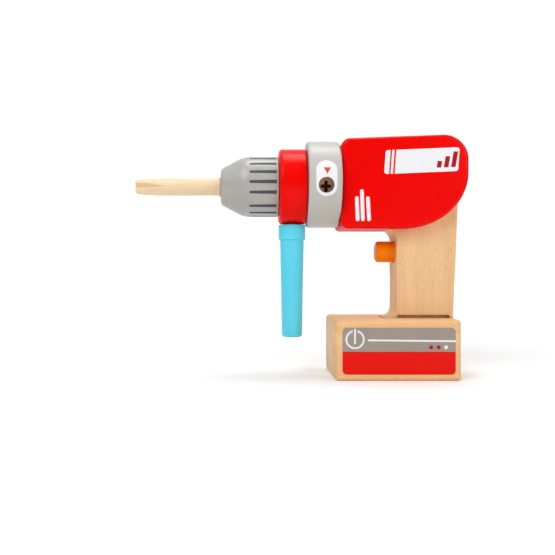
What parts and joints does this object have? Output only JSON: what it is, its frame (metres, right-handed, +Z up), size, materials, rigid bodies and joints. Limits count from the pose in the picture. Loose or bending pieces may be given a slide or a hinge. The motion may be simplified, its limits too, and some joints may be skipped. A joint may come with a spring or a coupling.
{
  "type": "toy power drill",
  "caption": "Wooden toy power drill: pull-out cross-point bit, turning chuck, side handle that turns a symbol drum, sprung trigger and lift-off battery block.",
  "frame": {"origin": "on the table under the middle of the drill's bounding box", "axes": "+X from the bit to the back of the body, +Y away from the decorated side, +Z up"},
  "size_m": [0.23, 0.0608, 0.1666],
  "materials": {
    "red_paint": "smooth glossy red paint on beech",
    "grey_paint": "satin warm grey paint on beech",
    "blue_paint": "satin light blue paint on beech",
    "orange_lacquer": "translucent orange lacquer on a dowel",
    "beech": "sanded beech with fine dark flecks, clear satin lacquer",
    "birch": "pale turned birch dowel",
    "steel": "plain zinc-plated steel",
    "fibre": "dark pressed fibre washer",
    "white_print": "satin white printing ink",
    "slate_print": "satin slate-grey printing ink",
    "grey_print": "satin warm grey printing ink",
    "red_print": "satin red printing ink",
    "dark_print": "satin dark brown printing ink"
  },
  "bodies": {
    "battery": {"battery_block": "beech"},
    "drill": {"grip": "beech", "cheek_near": "red_paint", "cheek_far": "red_paint", "body_core": "red_paint", "body_dowel_1": "birch", "body_dowel_2": "birch", "body_dowel_3": "birch", "body_dowel_4": "birch", "grip_dowel_1": "birch", "grip_dowel_2": "birch", "selector_ring": "grey_paint", "ring_dowel_near": "birch", "ring_dowel_far": "birch", "spindle": "birch", "front_thrust_washer": "fibre", "rear_thrust_washer": "fibre", "detent_ball": "steel", "detent_spring": "steel", "chuck_screw": "steel", "screw_washer": "steel", "trigger_spring": "steel", "trigger_pin": "birch"},
    "nose": {"nose_collar": "red_paint", "collar_stud": "birch", "side_handle": "blue_paint", "symbol_drum": "beech"},
    "chuck": {"chuck": "grey_paint"},
    "bit": {"bit": "birch"},
    "trigger": {"trigger": "orange_lacquer"}
  },
  "joints": [
    {"name": "drill_lift", "type": "slide", "parent": "battery", "child": "drill", "axis": [0, 0, 1], "range_m": [0, 0.03]},
    {"name": "nose_turn", "type": "hinge", "parent": "drill", "child": "nose", "pos_m": [-0.00445, 0, 0.133], "axis": [1, 0, 0], "continuous": true},
    {"name": "chuck_turn", "type": "hinge", "parent": "drill", "child": "chuck", "pos_m": [-0.0143, 0, 0.133], "axis": [1, 0, 0], "continuous": true},
    {"name": "bit_pull", "type": "slide", "parent": "chuck", "child": "bit", "axis": [-1, 0, 0], "range_m": [0, 0.025]},
    {"name": "trigger_press", "type": "slide", "parent": "drill", "child": "trigger", "axis": [1, 0, 0], "range_m": [0, 0.008], "stiffness_N_per_m": 150, "springref_m": -0.004, "deforming": ["trigger_spring"]}
  ]
}
